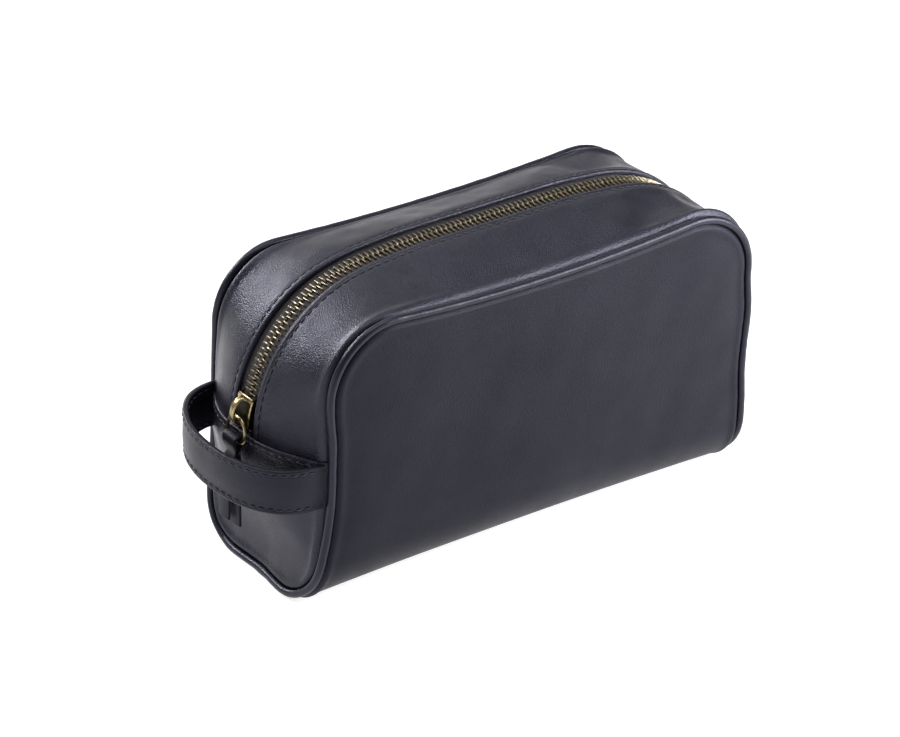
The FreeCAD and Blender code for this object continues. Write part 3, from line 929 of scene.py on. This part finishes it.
def small_block(low, high, radius):
    """Box with rounded edges, long along Y, as (points, faces)."""
    low, high = np.array(low, float), np.array(high, float)
    size = high - low
    middle = (low + high) / 2
    end = radius / size[1]
    stations = [(-0.5, 0.6), (-0.5 + end * 0.4, 0.88), (-0.5 + end, 1), (0.5 - end, 1),
                (0.5 - end * 0.4, 0.88), (0.5, 0.6)]
    ring = rounded_bar(size[0], size[2], radius)
    return tube_mesh(np.array([[(middle[0] + x * s, middle[1] + t * size[1], middle[2] + z * s)
                                for x, z in ring] for t, s in stations]))


def build_stops():
    """Two small stops at the closed end, one broad one at the far end."""
    face = chain_half_length + tape_level + 0.3
    low = hem_height + 0.9
    pair = [small_block((-face - 1.7, near, low), (-face + 0.2, far, low + 1.5), 0.4)
            for near, far in ((-4.4, -0.8), (0.8, 4.4))]
    dress(merge("zip_top_stops", pair, teeth_brass), "zip_brass", "root", "zip_closed_stops")
    box = small_block((face - 0.2, -4.4, low), (face + 1.7, 4.4, low + 3.3), 0.5)
    dress(merge("zip_bottom_stop", [box], teeth_brass), "zip_brass", "root", "zip_open_stop")


# ---- slider, ring and pull

def slider_shape(upper):
    """One plate of the slider with its two side flanges, from the nose to the tail."""
    low_box, high_box = cad_box("slider_body")
    nose, tail = low_box[2] - 0.1, high_box[2] + 0.2
    stations = np.array([0, 0.02, 0.06, 0.14, 0.3, 0.5, 0.7, 0.86, 0.94, 0.98, 1])
    widths = np.array([3.9, 4.7, 5.2, 5.5, 5.6, 5.8, 6.2, 6.5, 6.6, 6.5, 6.2])
    crest = np.array([2.3, 2.75, 3.05, 3.2, 3.3, 3.35, 3.3, 3.2, 3.05, 2.75, 2.3])
    underside = 1.85
    wall = 1.0
    lower_drop = 0.9
    rings = []
    for share, wide, high in zip(stations, widths, crest):
        z = nose + (tail - nose) * share
        turn = math.asin((z - chain_corner_z) / chain_radius) if z > chain_corner_z else 0.0
        half = [(wide - wall, 0.0), (wide, 0.0), (wide, high - 0.9), (wide - 0.3, high - 0.3),
                (wide - 1.0, high)]
        outline = half + [(0, high + 0.05)] + [(-y, h) for y, h in reversed(half)]
        outline += [(-wide + wall, underside), (wide - wall, underside)]
        ring = []
        for y, h in outline:
            radius = chain_radius + (h if upper else -h - lower_drop)
            ring.append((-chain_corner_x - radius * math.cos(turn), y,
                         chain_corner_z + radius * math.sin(turn) if turn else z))
        rings.append(ring)
    points, faces = tube_mesh(np.array(rings))
    if upper:
        faces = [face[::-1] for face in faces]
    return points, faces


def build_slider():
    """Two plates on a post in near-black brass, partly patina and partly painted shade; steep bevels and
    upward faces take the brighter brass, as edge wear and painted highlight.
    """
    post = small_block((-chain_half_length - 2.2, -0.45, chain_corner_z - 0.8),
                       (-chain_half_length + 2.6, 0.45, chain_corner_z + 2.2), 0.2)
    body = merge("slider_plates", [slider_shape(True), slider_shape(False), post], plate_patina_and_shade_brass, 35)
    body.data.materials.append(slider_brass)
    # Faces on steep bevels and faces turned upward get the brighter brass, which is edge wear with a painted
    # highlight. The rest keep the near-black brass, which is patina with painted shade.
    for face in body.data.polygons:
        worn_and_lit = 0.8 < abs(face.normal.x) < 0.96 or face.normal.z > 0.7
        face.material_index = 1 if worn_and_lit else 0
    dress(body, "zip_brass", "slider", "slider_body")


def spline(points, count):
    """Smooth curve through points, as Catmull-Rom spans."""
    points = np.asarray(points, float)
    padded = np.concatenate([2 * points[:1] - points[1:2], points, 2 * points[-1:] - points[-2:-1]])
    result = []
    spans = len(points) - 1
    for value in np.linspace(0, spans, count):
        i = min(int(value), spans - 1)
        t = value - i
        a, b, c, d = padded[i:i + 4]
        result.append(0.5 * ((2 * b) + (c - a) * t + (2 * a - 5 * b + 4 * c - d) * t ** 2
                             + (3 * b - a - 3 * c + d) * t ** 3))
    return np.array(result)


def build_bridge():
    """Arched band on the slider's outer face, which the ring hangs from."""
    face = -chain_half_length - 2.9
    z = ring_hang[2]
    points = np.array([(face + 0.6, 0, z + 9.5), (face - 1.2, 0, z + 9.9), (face - 3.5, 0, z + 8.8),
                       (face - 5.5, 0, z + 6.0), (face - 6.3, 0, z + 2.6), (face - 5.8, 0, z - 0.9),
                       (face - 3.9, 0, z - 3.5), (face - 1.4, 0, z - 4.5), (face + 0.6, 0, z - 4.6)])
    path = spline(points, 44)
    tangent = unit(np.gradient(path, axis=0))
    wide = np.interp(np.linspace(0, 1, len(path)), [0, 0.12, 0.4, 0.8, 1], [1.6, 1.2, 1.0, 1.05, 1.35])
    normal = np.stack([tangent[:, 2], 0 * tangent[:, 0], -tangent[:, 0]], axis=1)
    rings = rings_along(path, rounded_bar(3.2, 1.9, 0.75), y_axis, normal, wide)
    piece = make_object("bridge", *tube_mesh(rings), slider_brass)
    dress(piece, "zip_brass", "slider", "slider_bridge")


def build_ring():
    """D-shaped wire loop: an arc over the bridge, two rounded corners and the straight bar."""
    wire = 0.95
    corner = 2.5
    half = cad_box("pull_ring")[1][1] - 1.5
    drop = math.hypot(pull_bar[0] - ring_hang[0], pull_bar[2] - ring_hang[2])
    lean = math.atan2(ring_hang[0] - pull_bar[0], ring_hang[2] - pull_bar[2])
    arc_top = np.radians(np.linspace(180, 0, 25))
    top = np.stack([half * np.cos(arc_top), half * np.sin(arc_top) - half], axis=1)
    turn = np.radians(np.linspace(0, -90, 9))
    right = np.stack([half - corner + corner * np.cos(turn), -drop + corner + corner * np.sin(turn)], axis=1)
    outline = np.concatenate([top, right, right[::-1] * np.array([-1, 1])])
    outline = spaced(np.concatenate([outline, outline[:1]]), 0.6, closed=True)
    path = np.stack([outline[:, 1] * math.sin(lean), outline[:, 0], outline[:, 1] * math.cos(lean)], axis=1)
    path = path + ring_hang
    normal = np.array([math.cos(lean), 0, -math.sin(lean)])
    rings = rings_along(path, circle(wire, 12), np.cross(loop_tangent(path), normal), normal)
    piece = make_object("wire_ring", *tube_mesh(rings, closed=True), slider_brass, crease_angle=0)
    dress(piece, "zip_brass", "ring", "pull_ring")


def build_pull():
    """One strip: up the outer ply, over the ring's bar, pinched below it, and down the inner ply."""
    x, _, z = pull_bar
    tail = pull_low
    points = np.array([(x - 0.6, 7.0, tail - 1.6), (x - 0.8, 6.2, tail + 14), (x - 0.9, 3.8, z - 18),
                       (x - 1.1, 1.4, z - 10.5), (x - 1.6, 0.4, z - 6.4), (x - 2.9, 0, z - 3.0),
                       (x - 3.6, 0, z - 0.2), (x - 3.0, 0, z + 2.1), (x - 1.2, 0, z + 2.9),
                       (x + 0.5, 0, z + 2.2), (x + 1.5, 0, z + 0.3), (x + 1.7, 0, z - 2.2),
                       (x + 1.2, 0, z - 5.0), (x + 0.8, 0.6, z - 9.5), (x + 1.0, 1.0, z - 18),
                       (x + 1.6, 1.2, tail + 13), (x + 2.2, 1.2, tail - 3.8)])
    path = spline(points, 150)
    tangent = unit(np.gradient(path, axis=0))
    side = unit(y_axis - tangent * (tangent @ y_axis)[:, None])
    pinch = bump(path[:, 2] - (z - 7.5), 3.2)
    below = smooth((z - 12 - path[:, 2]) / 12)
    full = 10.0
    width = 10.4 - 3.6 * pinch - 1.8 * below
    rings = rings_along(path, rounded_bar(full, 1.5, 0.45), side, np.cross(tangent, side), width / full)
    piece = make_object("zip_pull", *tube_mesh(rings), wrap_leather)
    dress(piece, "strap_leather", "pull", "leather_pull")


# ---- hand strap

def strap_path():
    """Half-elliptical loop out of both end seams, along the plies' meeting line."""
    turn = np.linspace(0.0, math.pi, 160)
    reach = strap_reach - 1.5
    span = half_depth - 4.2
    squareness = 0.88
    across = np.cos(turn)
    x = strap_centre_x - reach * np.sin(turn) ** squareness
    y = -span * np.sign(across) * np.abs(across) ** squareness
    z = strap_middle_z + 1.5 * y / span + 2.0 * np.clip(y / span, 0, 1) ** 2
    loop = np.stack([x, y, z], axis=1)
    start = np.array([[strap_centre_x + 3.4, -span - 0.5, loop[0, 2]],
                      [strap_centre_x + 1.6, -span - 0.15, loop[0, 2]]])
    end = start[::-1] * np.array([1, -1, 1])
    end[:, 2] = loop[-1, 2]
    return spaced(np.concatenate([start, loop, end]), 1.3)


def ply_section(inner_face, outer_face, puff):
    """Section of one ply as heights, free face and hidden face: its free face is softly crowned."""
    half = strap_width / 2
    z = np.concatenate([np.linspace(-half, -half + 4.5, 10), np.linspace(-half + 6, half - 6, 12),
                        np.linspace(half - 4.5, half, 10)])
    from_edge = half - np.abs(z)
    edge_round = 0.5 * np.clip(1 - from_edge / 0.7, 0, 1) ** 2
    groove = 0.22 * bump(from_edge - strap_stitch_line, 0.75)
    crown = puff * smooth((from_edge - 3.5) / 7)
    bead = 0.12 * bump(from_edge - 1.2, 0.8)
    free = outer_face + np.sign(outer_face) * (crown - groove - edge_round + bead)
    return z, free, 0 * z + inner_face


def build_strap():
    """Outer and inner ply, each with its two rows of stitches."""
    path = strap_path()
    tangent = unit(np.gradient(path, axis=0))
    out = np.stack([tangent[:, 1], -tangent[:, 0], 0 * tangent[:, 0]], axis=1)
    out = unit(out * np.sign(-out[len(out) // 2, 0]))
    lean = 0.05 * np.sin(np.linspace(0, math.pi, len(path)))
    rise_way = unit(np.array([0, 0, 1.0]) + out * lean[:, None])
    # Hidden face, free face and puff of each ply.
    plies = {"strap_outer": (0.03, 1.45, 0.35), "strap_inner": (-0.03, -1.45, 0.15)}
    for name, (near_face, free_face, puff) in plies.items():
        z, free, near = ply_section(near_face, free_face, puff)
        free_grid, near_grid = (path[:, None] + out[:, None] * face[:, None] + rise_way[:, None] * z[:, None]
                                for face in (free, near))
        free_grid = free_grid + out[:, None] * (0.1 * ripple(free_grid, 18, 51))[..., None]
        piece = shell(name, free_grid, near_grid, strap_leather, flip=free_face > 0)
        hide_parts(name + "_ply", "strap_front_end", "strap_back_end")
        bend_with_strap(piece)
        face_out = out if free_face > 0 else -out
        for row, way in (("low", -1), ("high", 1)):
            height = way * (strap_width / 2 - strap_stitch_line)
            line = path + out * (free_face * 0.86) + rise_way * height
            run = stitch_run(line[4:-4], face_out[4:-4], *strap_stitch)
            stitches = merge(name + "_stitches_" + row, [mesh for mesh, _ in run], thread, 0)
            bend_with_strap(stitches)


def bend_with_strap(piece):
    """Bake the piece's placement into its points."""
    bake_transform(piece)


# ---- board, floor, light and camera

def build_board():
    board = frame["nodes"]["base_board"]
    board.data.materials.clear()
    board.data.materials.append(board_material())


def build_floor():
    material, tree, shader = new_material("studio_floor", 0.9)
    feed(tree, shader, "Base Color", noise(tree, 3), [(0.2, grey(0.4)), (0.8, grey(0.43))])
    shader.inputs["Emission Color"].default_value = (1, 1, 1, 1)
    shader.inputs["Emission Strength"].default_value = 0.8
    size = 4000.0
    points = [(-size, -size, 0), (size, -size, 0), (size, size, 0), (-size, size, 0)]
    floor = make_object("studio_floor", points, [(0, 1, 2, 3)], material, crease_angle=0)


def stand(name, data, place, right, up, back):
    """An object for a light's or a camera's data, at a place and with its own axes."""
    thing = add_object(name, data)
    thing.matrix_world = Matrix([[right[i], up[i], back[i], place[i]] for i in range(3)] + [[0, 0, 0, 1]])
    return thing


def area_light(name, place, target, width, height, power):
    """A white panel at a place, facing a target, in metres and watts."""
    data = bpy.data.lights.new(name, "AREA")
    data.shape = "RECTANGLE"
    data.size = width
    data.size_y = height
    data.energy = power
    back = unit(np.array(place, float) - np.array(target, float))
    right = unit(np.cross((0, 0, 1.0), back))
    stand(name, data, place, right, np.cross(back, right), back)


def build_light():
    world = bpy.data.worlds.new("studio")
    bpy.context.scene.world = world
    world.use_nodes = True
    world.node_tree.nodes["Background"].inputs["Color"].default_value = (0.97, 0.97, 1, 1)
    world.node_tree.nodes["Background"].inputs["Strength"].default_value = 0.2
    area_light("key_back_left", (-0.95, 1.35, 1.3), (-0.09, 0, 0.12), 0.5, 0.45, 32)
    area_light("low_back", (-0.12, 1.45, 0.5), (-0.1, 0, 0.12), 0.4, 0.28, 9)
    area_light("high_left", (-0.45, 0.8, 1.75), (-0.06, 0, 0.12), 0.7, 0.6, 8)
    area_light("wall_back_right", (0.9, 1.75, 1.15), (0, 0, 0.12), 2.0, 1.0, 8)
    area_light("top", (0.25, -0.2, 2.0), (0, 0, 0.08), 1.2, 0.9, 20)
    area_light("front_right", (0.37, -0.35, 0.27), (0.1, -0.05, 0.13), 0.28, 0.28, 5.4)
    area_light("left", (-0.72, -0.1, 0.2), (-0.15, 0, 0.07), 0.3, 0.25, 0.6)


def build_camera():
    azimuth, elevation, roll = np.radians([-37.863, 28.934, 2.265])
    distance = 2.6
    target = np.array([-0.01984, 0.0, 0.0810])
    back = np.array([math.sin(azimuth) * math.cos(elevation), -math.cos(azimuth) * math.cos(elevation),
                     math.sin(elevation)])
    right = unit(np.cross((0, 0, 1.0), back))
    up = np.cross(back, right)
    rolled_right = right * math.cos(roll) + up * math.sin(roll)
    rolled_up = -right * math.sin(roll) + up * math.cos(roll)
    data = bpy.data.cameras.new("camera")
    data.sensor_width = 36
    data.lens = 206.03
    data.clip_end = 50
    camera = stand("camera", data, target + back * distance, rolled_right, rolled_up, back)
    bpy.context.scene.camera = camera
    bpy.context.scene.view_settings.view_transform = "Standard"


build_gussets()
build_zip_stitches()
build_body()
build_end("left")
build_end("right")
build_piping()
build_tapes()
build_teeth()
build_stops()
build_slider()
build_bridge()
build_ring()
build_pull()
build_strap()
build_board()
build_floor()
build_light()
build_camera()
